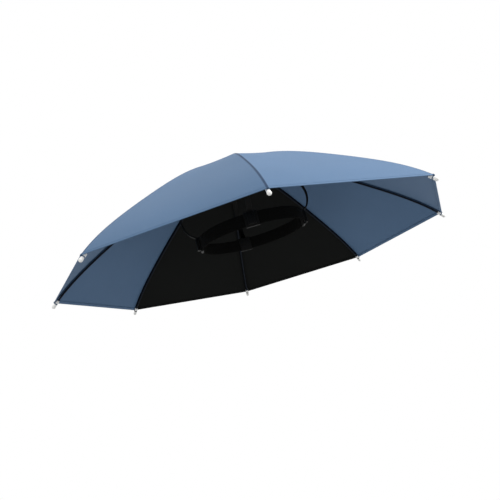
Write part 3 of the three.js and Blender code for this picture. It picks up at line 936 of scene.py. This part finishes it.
class UMBRELLA_HAT_OT_seams(bpy.types.Operator):
    """Make the binding tapes and the stitches of the seams and the hem"""

    bl_idname = "umbrella_hat.seams"
    bl_label = "Seams"

    def execute(self, context):
        hat = context.scene.umbrella_hat
        form = Form(hat)
        hub = HUB_HIGH.x
        tape = tape_surface(form, hub)
        rib_angles = FRONT + np.arange(hat.canopy.panels) * form.step
        shades = rib_shades(hat.canopy)
        for k, (rib_angle, shade) in enumerate(zip(rib_angles, shades), 1):
            placed = solid(about_axis(tape.points, rib_angle))
            piece(f"seam_tape_{k}", [placed], finish_of(f"{shade}_twill"))
        rear = [k - 1 for k in rear_panels(hat.canopy)]
        middles = rib_angles + form.half_step
        hem, rows = hem_stitches(form), tape_stitches(form, hub)
        for shade, at in (("blue", np.delete(middles, rear)), ("black", middles[rear])):
            thread = finish_of(f"{shade}_thread")
            sewn = rib_angles[np.array(shades) == shade]
            piece(f"hem_stitching_{shade}", stitched(hem, at), thread)
            piece(f"tape_stitching_{shade}", stitched(rows, sewn), thread)
        return {"FINISHED"}


# Ribs, caps and bindings

RIB_POINTS, RIB_SIDES = 110, 18


class UMBRELLA_HAT_OT_ribs(bpy.types.Operator):
    """Make the ribs, round rods under the seams"""

    bl_idname = "umbrella_hat.ribs"
    bl_label = "Ribs"

    def execute(self, context):
        hat = context.scene.umbrella_hat
        form = Form(hat)
        radius = np.linspace(hat.ribs.start, hat.canopy.tip_radius, RIB_POINTS)
        line = form.under_seam(radius, form.rib_drop)
        line = np.concatenate([line, line[-1:] + form.tip_direction() * hat.ribs.overhang])
        across = np.broadcast_to([0.0, 1.0, 0.0], line.shape)
        points = swept(line, across, np.cross(tangents(line), across), circle(RIB_SIDES, hat.ribs.radius))
        for k in range(1, hat.canopy.panels + 1):
            rod = solid(about_axis(points, FRONT + (k - 1) * form.step))
            piece(f"spring_rib_{k}", [rod], finish_of("painted_steel"), [f"rib_{k}"])
        return {"FINISHED"}


CAP_SIDES = 40
CAP_POLE = 0.0002               # radius of the small flat where a cap meets its own axis
GROOVE_SIDE = (0.0002, 0.0005)  # foot and top of the groove's slanting sides, from the thread
CAP_EDGES = (0, 0.0003, 0.0004, 0.0003, 0.0002, 0.0002, 0.0003)    # rounding, from the hole's end outwards


def cap_profile(ribs):
    """Cap along +Z from its blind hole: the hole's end, the mouth, the barrel with a groove for the thread,
    and a round nose, a quarter of a circle."""
    hole, depth, mouth = ribs.radius + CLEARANCE, ribs.overhang + CLEARANCE, -ribs.cap_inside
    groove, first = ribs.barrel - ribs.groove, -ribs.binding_start
    last, (foot, top) = first + ribs.binding_width, GROOVE_SIDE
    corners = [(hole, depth), (hole, mouth), (ribs.barrel, mouth), (ribs.barrel, first - top),
               (groove, first - foot), (groove, last + foot), (ribs.barrel, last + top)]
    turn = np.linspace(0, np.pi / 2, 10)[:-1]
    nose = ribs.nose * np.stack([np.cos(turn), np.sin(turn) - 1], axis=-1) + [0, ribs.cap_outside]
    ends = np.array([[(CAP_POLE, depth)], [(CAP_POLE, ribs.cap_outside)]])
    return np.concatenate([ends[0], rounded(corners, CAP_EDGES, 4), nose, ends[1]])


def tip_frame(form):
    """Directions of a cap at a rib's end, in the rib's plane: side, seam and outwards along the rib."""
    outwards = form.tip_direction()
    side = np.array([0.0, 1.0, 0.0])
    return np.stack([np.cross(side, outwards), side, outwards])


WINDING_POINTS = 22       # to each turn of the thread
TUCK = 25                 # an end that tucks in is this part of the thread
UNEVEN = (0.18, 31.0)     # share of the thread's thickness, and radians over its whole length


def binding_line(ribs):
    """Thread wound round a cap in its groove: a helix that lies a little unevenly and whose ends tuck in."""
    turns, thread = ribs.binding_turns, ribs.binding_thread
    share = np.linspace(0, 1, turns * WINDING_POINTS)
    tuck = np.clip(1 - share * TUCK, 0, 1) + np.clip(1 - (1 - share) * TUCK, 0, 1)
    uneven = UNEVEN[0] * np.sin(share * UNEVEN[1])
    radius = ribs.barrel - ribs.groove + thread * (0.5 + uneven - 0.5 * tuck)
    turn = share * turns * 2 * np.pi
    along = share * ribs.binding_width - ribs.binding_start
    return np.stack([radius * np.cos(turn), radius * np.sin(turn), along], axis=-1)


TIES_ASIDE = (-0.0013, -0.0005, 0.0004, 0.0012)    # of the seam
TIE_START = (0.0008, 0.0003)    # past the corner of the hem, and under the top of the cap's barrel
TIE_ON_CLOTH = 0.0005    # distance past the corner up to which the cloth's fold sets a thread's depth
# Distance past the corner of the hem, and depth under the seam
TIE = ((0.0006, 0.0006), (0.0001, -0.0003), (-0.0008, -0.0004), (-0.0018, -0.00035), (-0.0025, 0.0003))


def corner_ties(form):
    """Threads from the cap over the corner of the hem into the cloth: each is a low arch beside the seam."""
    radius, barrel_top = form.canopy.tip_radius, form.rib_drop - form.ribs.barrel
    slope = np.arctan(form.seam_slope(radius))
    out, depth = np.array([(TIE_START[0], barrel_top + TIE_START[1]), *TIE]).T
    lines = []
    for aside in TIES_ASIDE:
        fold = np.tan(form.seam_half_fold(radius)) * abs(aside)
        under = depth + np.where(out < TIE_ON_CLOTH, fold, 0)
        x = radius + out * np.cos(slope) - under * np.sin(slope)
        z = form.seam_level(radius) - out * np.sin(slope) - under * np.cos(slope)
        lines.append(spline(np.stack([x, 0 * x + aside, z], axis=-1), 6))
    return lines


def thread_tube(line, thickness, sides=8):
    """Round thread along a line: its side directions are square to the line and to the upright, or to X where
    the line is steep."""
    ahead = tangents(line)
    upright = np.where(np.abs(ahead[:, 2:]) < 0.9, [[0.0, 0.0, 1.0]], [[1.0, 0.0, 0.0]])
    across = np.cross(ahead, upright)
    across /= np.linalg.norm(across, axis=1, keepdims=True)
    tube = swept(line, across, np.cross(across, ahead), circle(sides, thickness / 2))
    return solid(tube)


class UMBRELLA_HAT_OT_caps(bpy.types.Operator):
    """Make the caps on the ribs' ends, and the thread that binds the corners of the cloth to them"""

    bl_idname = "umbrella_hat.caps"
    bl_label = "Caps"

    def execute(self, context):
        hat = context.scene.umbrella_hat
        form, ribs = Form(hat), hat.ribs
        directions, tip = tip_frame(form), form.under_seam(hat.canopy.tip_radius, form.rib_drop)
        cap = turned(cap_profile(ribs), CAP_SIDES).points @ directions + tip
        wound = thread_tube(binding_line(ribs), ribs.binding_thread).points @ directions + tip
        ties = [thread_tube(line, ribs.tie_thread, 6).points for line in corner_ties(form)]
        for k, shade in enumerate(rib_shades(hat.canopy), 1):
            at = FRONT + (k - 1) * form.step
            shapes = [solid(about_axis(points, at)) for points in (cap, wound, *ties)]
            white, thread = finish_of("white_moulding"), finish_of(f"{shade}_thread")
            piece(f"white_cap_{k}", shapes[:1], white, [f"tip_cap_{k}"])
            piece(f"corner_binding_{k}", shapes[1:], thread)
        return {"FINISHED"}


# Hub, plate and button on the axis

POLE = 0.0003    # radius of the small flat where a turned body meets the axis


def hub_profile(form, centre):
    """Ring with a flat underside and a cone on top that follows the panels."""
    outer, bore, low = HUB_HIGH.x, centre.hub_bore, HUB_LOW.z
    under_cloth = CAD_CLOTH + CLEARANCE + centre.hub_drop
    rim = form.seam_level(outer / np.cos(form.half_step)) - under_cloth
    return rounded([(bore, low), (outer, low), (outer, rim), (bore, HUB_HIGH.z - centre.hub_drop)],
                   centre.edge * np.array([1 / 3, 1, 1, 1 / 3]))


# Shares of the plate's radius where the ring in its underside starts, is deep, and ends
PLATE_GROOVE = (0.62, 0.66, 0.72, 0.76)


def plate_profile(centre):
    """Disc with a shallow ring in its underside and a blind hole for the button's stem on top."""
    outer, low, top, hole_end = PLATE_HIGH.x, PLATE_LOW.z, PLATE_HIGH.z, BUTTON_LOW.z - CLEARANCE
    levels = low + centre.plate_groove * np.array([0, 1, 1, 0])
    groove = np.stack([outer * np.array(PLATE_GROOVE), levels], axis=-1)
    corners = [(POLE, low), *groove, (outer - centre.plate_taper, low), (outer, top), (centre.hub_bore, top),
               (centre.hub_bore, hole_end), (POLE, hole_end)]
    return rounded(corners, centre.edge * np.array([0, 1 / 2, 1 / 3, 1 / 3, 1 / 2, 1.6, 1, 1 / 3, 0, 0]))


BUTTON_EDGES = (0.0004, 0.0004, 0.0003)    # rounding of the stem's end, its join with the head, and the rim


def button_profile(centre):
    """Stem with a dome on it, a quarter of an ellipse."""
    outer, low, top = BUTTON_HIGH.x, BUTTON_LOW.z, BUTTON_HIGH.z
    rim = top - centre.button_rise
    turn = np.linspace(0, np.pi / 2, 12)[1:-1]
    dome = np.stack([outer * np.cos(turn), rim + centre.button_rise * np.sin(turn)], axis=-1)
    stem = centre.button_stem
    foot = rounded([(stem, low), (stem, rim), (outer, rim)], BUTTON_EDGES)
    return np.concatenate([[(POLE, low)], foot, dome, [(POLE, top)]])


class UMBRELLA_HAT_OT_centre(bpy.types.Operator):
    """Make the hub, the plate under it and the button on top"""

    bl_idname = "umbrella_hat.centre"
    bl_label = "Centre"

    def execute(self, context):
        hat = context.scene.umbrella_hat
        black = finish_of("black_moulding")
        ring = hoop(turned(hub_profile(Form(hat), hat.centre)).points)
        piece("hub_disc", [ring], black, ["rib_hub"])
        piece("centre_plate", [turned(plate_profile(hat.centre), 80)], black, ["arm_plate"])
        piece("crown_button", [turned(button_profile(hat.centre), 80)], black, ["top_cap"])
        return {"FINISHED"}


# Headband

BAND_STATIONS = 360
CORD_POINTS = 5       # to each cord's arch
CORD_SHARE = 0.20     # of the thickness that the arches take
SELVEDGE = 0.25       # least thickness at the edges, as a share


def band_outline(band):
    """Section of the elastic, outwards and up: each face is a row of low arches, one to a cord, and its
    thickness falls away at the edges as the root of 1 - up^8."""
    up = np.linspace(-1, 1, band.cords * CORD_POINTS + 1)
    arch = np.abs(np.sin((up + 1) * np.pi / 2 * band.cords))
    thick = (1 - CORD_SHARE + CORD_SHARE * arch) * np.clip((1 - up**8) ** 0.5, SELVEDGE, 1)
    face = np.stack([band.thickness / 2 * thick, band.height / 2 * up], axis=-1)
    return np.concatenate([face, (face * [-1, 1])[::-1]])


class UMBRELLA_HAT_OT_headband(bpy.types.Operator):
    """Make the elastic headband, woven round lengthwise cords"""

    bl_idname = "umbrella_hat.headband"
    bl_label = "Headband"

    def execute(self, context):
        hat = context.scene.umbrella_hat
        turn = np.linspace(0, 2 * np.pi, BAND_STATIONS, endpoint=False)[:, None]
        turn, out, up = np.broadcast_arrays(turn, *band_outline(hat.band).T[:, None])
        loop = hoop(Form(hat).on_band(turn, out, up))
        piece("woven_band", [loop], finish_of("corded_elastic"), ["headband"], sharp=60)
        return {"FINISHED"}


# Clips and arms

def foot_offset(band, clips, arms):
    """How far an arm's foot stands out from the middle of the band."""
    return band.thickness / 2 + 2 * CLEARANCE + clips.wall + arms.thickness / 2


def arm_foot(form, hat, side_angle):
    """Foot of an arm in its own upright plane, and the way up the band from there, for one metre."""
    turn = np.array([form.band_turn(side_angle)] * 2)
    out = np.full(2, foot_offset(hat.band, hat.clips, hat.arms))
    low, high = form.on_band(turn, out, np.array([0.0, 1.0]))
    outward = np.array([np.cos(side_angle), np.sin(side_angle), 0])
    rise = high - low
    return np.array([low @ outward, 0, low[2]]), np.array([rise @ outward, 0, rise[2]])


# Shares of the foot's mean distance from the axis, and of the rise from the foot to the plate
ARM_CURVE = ((1.1, 0.18), (1.155, 0.28), (1.175, 0.395), (1.145, 0.52),
             (1.05, 0.66), (0.86, 0.81), (0.63, 0.91), (0.42, 0.97))
ARM_POINTS = 150
CHANNEL_POINTS = 13
CHANNEL_SHARE = 0.82    # of the flat outside of an arm that the channel takes


def arm_line(form, hat, side_angle):
    """Middle line of an arm in its own plane: straight in the clip, bowed out, straight into the plate."""
    a, (foot, up) = hat.arms, arm_foot(form, hat, side_angle)
    mean = (foot[0] + arm_foot(form, hat, side_angle + np.pi)[0][0]) / 2
    level = (PLATE_LOW.z + PLATE_HIGH.z) / 2
    share, height = np.array(ARM_CURVE).T
    from_axis = share * mean + (foot[0] - mean) * (1 - height)
    bow = np.stack([from_axis, 0 * share, foot[2] + height * (level - foot[2])], axis=-1)
    in_clip = hat.clips.height / 2
    start = foot + up * np.array([[-a.in_clip], [-a.in_clip / 2], [0], [in_clip / 2], [in_clip]])
    inner = np.array([[a.start + share * a.straight, 0, level] for share in (1, 0.5, 0)])
    return evenly(spline(np.concatenate([start, bow, inner])), ARM_POINTS)


def arm_outline(arms):
    """Section of an arm, across and outwards: a rounded strip whose outside has a channel of even depth, with
    sides that rise as the sixth power of the way out."""
    quarter = 4
    outline = box_outline(arms.width / 2, arms.thickness / 2, arms.corner, quarter)
    side = np.linspace(-1, 1, CHANNEL_POINTS)[1:-1]
    channel = np.clip(1 - (side / CHANNEL_SHARE) ** 6, 0, 1) * arms.channel
    floor = np.stack([-side * (arms.width / 2 - arms.corner), arms.thickness / 2 - channel], axis=-1)
    return np.concatenate([outline[:quarter], floor, outline[quarter:]])


class UMBRELLA_HAT_OT_arms(bpy.types.Operator):
    """Make the four springy arms, strips with a shallow channel down the outside"""

    bl_idname = "umbrella_hat.arms"
    bl_label = "Arms"

    def execute(self, context):
        hat = context.scene.umbrella_hat
        form, black = Form(hat), finish_of("black_moulding")
        for name, side_angle in SIDE_ANGLES.items():
            line = arm_line(form, hat, side_angle)
            across = np.broadcast_to([0.0, 1.0, 0.0], line.shape)
            points = swept(line, across, np.cross(across, tangents(line)), arm_outline(hat.arms))
            strip = solid(about_axis(points, side_angle))
            piece(f"spring_arm_{name}", [strip], black, [f"arm_{name}"])
        return {"FINISHED"}


def filled(outline, longest):
    """Closed outline with points added at even distances, so that no step is longer than that."""
    ahead = np.roll(outline, -1, axis=0) - outline
    counts = np.ceil(np.linalg.norm(ahead, axis=1) / longest).astype(int).clip(1)
    corner = np.repeat(np.arange(len(outline)), counts)
    nth = np.arange(len(corner)) - np.repeat(np.cumsum(counts) - counts, counts)
    return outline[corner] + ahead[corner] * (nth / counts[corner])[:, None]


SLOT_CORNER = 0.0004     # rounding of the sleeve's inside
SLEEVE_STEP = 0.0015     # longest step along the band's curve
MOUTH_REACH = 0.003      # height over which the pocket starts to slant
FLOOR_HOLE = 0.0002      # half the width of the small flats in the middle of the pocket's floor


def sleeve_surface(form, hat, at):
    """Sleeve round the band, bent with it: a rounded section of its wall, from the slot's outline to the
    outer one."""
    b, c = hat.band, hat.clips
    slot_y, slot_z = b.thickness / 2 + CLEARANCE, b.height / 2 + CLEARANCE
    outer = box_outline(slot_y + c.sleeve_wall, c.height / 2, c.sleeve_wall, 6)
    inner = box_outline(slot_y, slot_z, SLOT_CORNER, 6)
    corners = np.array([(-1, 0), (1, 0), (1, 1), (-1, 1)]) * [c.width / 2, c.sleeve_wall]
    section = filled(rounded(corners, [c.edge] * 4), SLEEVE_STEP)
    wall = section[:, 1:, None] / c.sleeve_wall
    rings = outer[None] * (1 - wall) + inner[None] * wall
    x = np.broadcast_to(section[:, :1], rings.shape[:2])
    return hoop(form.on_band(at(x), rings[..., 0], rings[..., 1]))


def pocket_surface(form, hat, at):
    """Pocket for the arm's foot, an upright cup bent with the band: its outline, set in by the profile's
    first column, stands at the second. The rim slants down in step with the distance from the band."""
    c, a = hat.clips, hat.arms
    room = CLEARANCE + c.wall
    half_x, half_y, middle = a.width / 2 + room, a.thickness / 2 + room, foot_offset(hat.band, c, a)
    top, ground = c.height / 2 + c.pocket_rise, -a.in_clip - CLEARANCE
    low, centre = ground - c.wall, half_y - FLOOR_HOLE
    walls = rounded([(0, low), (0, top), (c.pocket_wall, top), (c.pocket_wall, ground)],
                    c.edge * np.array([1.5, 0.5, 0.5, 0]))
    profile = np.concatenate([[(centre, low)], walls, [(centre, ground)]])
    cup = np.stack([box_outline(half_x - inset, half_y - inset, max(c.corner - inset, FLOOR_HOLE), 6)
                    for inset in profile[:, 0]])
    by_mouth = np.clip((profile[:, 1:] - top + MOUTH_REACH) / MOUTH_REACH, 0, 1)
    level = profile[:, 1:] - by_mouth * c.mouth_slant * (cup[..., 1] / half_y + 1) / 2
    bent = form.on_band(at(cup[..., 0]), middle + cup[..., 1], level)
    return solid(bent)


class UMBRELLA_HAT_OT_clips(bpy.types.Operator):
    """Make the four clips, each a sleeve on the band with a pocket for an arm"""

    bl_idname = "umbrella_hat.clips"
    bl_label = "Clips"

    def execute(self, context):
        hat = context.scene.umbrella_hat
        form, b, black = Form(hat), hat.band, finish_of("black_moulding")
        for name, side_angle in SIDE_ANGLES.items():
            middle = form.band_turn(side_angle)
            speed = np.hypot(b.half_width * np.sin(middle), b.half_length * np.cos(middle))
            sleeve = sleeve_surface(form, hat, lambda x: middle + x / speed)
            pocket = pocket_surface(form, hat, lambda x: middle + x / speed)
            piece(f"band_clip_{name}", [sleeve, pocket], black, [f"clip_{name}"])
        return {"FINISHED"}


# Stage

def area_light(stage, name):
    """Soft square light that looks at its target, from the stage's values of that name."""
    place, target, size, watts = (getattr(stage, name + part) for part in ("", "_target", "_size", "_power"))
    data = bpy.data.lights.new(name, "AREA")
    data.shape, data.size, data.energy = "SQUARE", size, watts
    lamp = add(name, data)
    lamp.location = place
    lamp.rotation_euler = (Vector(target) - Vector(place)).to_track_quat("-Z", "Y").to_euler()


def floor_finish(stage):
    """Pale matt floor that fades into the backdrop with the distance from the middle of the band."""
    g = Graph("floor")
    far = g.node("ShaderNodeVectorMath", {"operation": "LENGTH"}, {0: g.place()}, output=1)
    fade = g.node("ShaderNodeMapRange", {"interpolation_type": "SMOOTHSTEP"},
                  {0: far, 1: stage.fade_start, 2: stage.fade_end, 3: 0.0, 4: 1.0})
    g.set(Base_Color=(*stage.floor, 1), Roughness=0.9, Specular_IOR_Level=0.1)
    glow = g.node("ShaderNodeEmission", inputs={0: (*stage.backdrop, 1), 1: 1.0})
    mixed = g.node("ShaderNodeMixShader", inputs={0: fade, 1: Wire(g, g.shader.outputs[0]), 2: glow})
    g.put(g.tree.nodes["Material Output"].inputs[0], mixed)
    return g.material


class UMBRELLA_HAT_OT_stage(bpy.types.Operator):
    """Make the camera, the pale floor and the soft light"""

    bl_idname = "umbrella_hat.stage"
    bl_label = "Stage"

    def execute(self, context):
        scene, s = context.scene, context.scene.umbrella_hat.stage
        data = bpy.data.cameras.new("camera")
        data.lens, data.sensor_width = s.lens, 36
        scene.camera = add("camera", data)
        scene.camera.location, scene.camera.rotation_euler = s.camera, s.camera_turn
        rim = circle(96, s.floor_radius)
        mesh = bpy.data.meshes.new("floor")
        mesh.from_pydata(np.insert(rim, 2, -s.floor_drop, axis=1).tolist(), [], [list(range(len(rim)))])
        mesh.materials.append(floor_finish(s))
        add("floor", mesh)
        world = bpy.data.worlds.new("soft light")
        world.use_nodes = True
        world.node_tree.nodes["Background"].inputs[0].default_value = (*s.backdrop, 1)
        scene.world = world
        scene.view_settings.view_transform = "Standard"
        area_light(s, "key")
        area_light(s, "fill")
        return {"FINISHED"}


class UMBRELLA_HAT_PT_sidebar(bpy.types.Panel):
    """Sizes, colours and the steps of the hat"""

    bl_label = "Umbrella Hat"
    bl_space_type = "VIEW_3D"
    bl_region_type = "UI"
    bl_category = "Umbrella Hat"

    def draw(self, context):
        hat = context.scene.umbrella_hat
        for step in STEPS:
            self.layout.operator(step.bl_idname)
        for group in hat.bl_rna.properties:
            if group.type == "POINTER" and group.identifier != "rna_type":
                box = self.layout.box()
                box.label(text=group.identifier.capitalize())
                sizes = getattr(hat, group.identifier)
                for size in sizes.bl_rna.properties:
                    if size.identifier not in ("rna_type", "name"):
                        box.prop(sizes, size.identifier)


STEPS = (
    UMBRELLA_HAT_OT_stage,
    UMBRELLA_HAT_OT_canopy,
    UMBRELLA_HAT_OT_seams,
    UMBRELLA_HAT_OT_ribs,
    UMBRELLA_HAT_OT_caps,
    UMBRELLA_HAT_OT_centre,
    UMBRELLA_HAT_OT_headband,
    UMBRELLA_HAT_OT_arms,
    UMBRELLA_HAT_OT_clips,
)
GROUPS = (CanopySizes, RibSizes, CentreSizes, BandSizes, ClipSizes, ArmSizes, Finishes, StageSizes,
          UmbrellaHat)


def register():
    for kind in (*GROUPS, *STEPS, UMBRELLA_HAT_PT_sidebar):
        bpy.utils.register_class(kind)
    bpy.types.Scene.umbrella_hat = PointerProperty(type=UmbrellaHat)


def unregister():
    del bpy.types.Scene.umbrella_hat
    for kind in reversed((*GROUPS, *STEPS, UMBRELLA_HAT_PT_sidebar)):
        bpy.utils.unregister_class(kind)


def main():
    """Builds the hat step by step."""
    register()
    for step in STEPS:
        family, name = step.bl_idname.split(".")
        getattr(getattr(bpy.ops, family), name)()


if __name__ == "__main__":
    main()
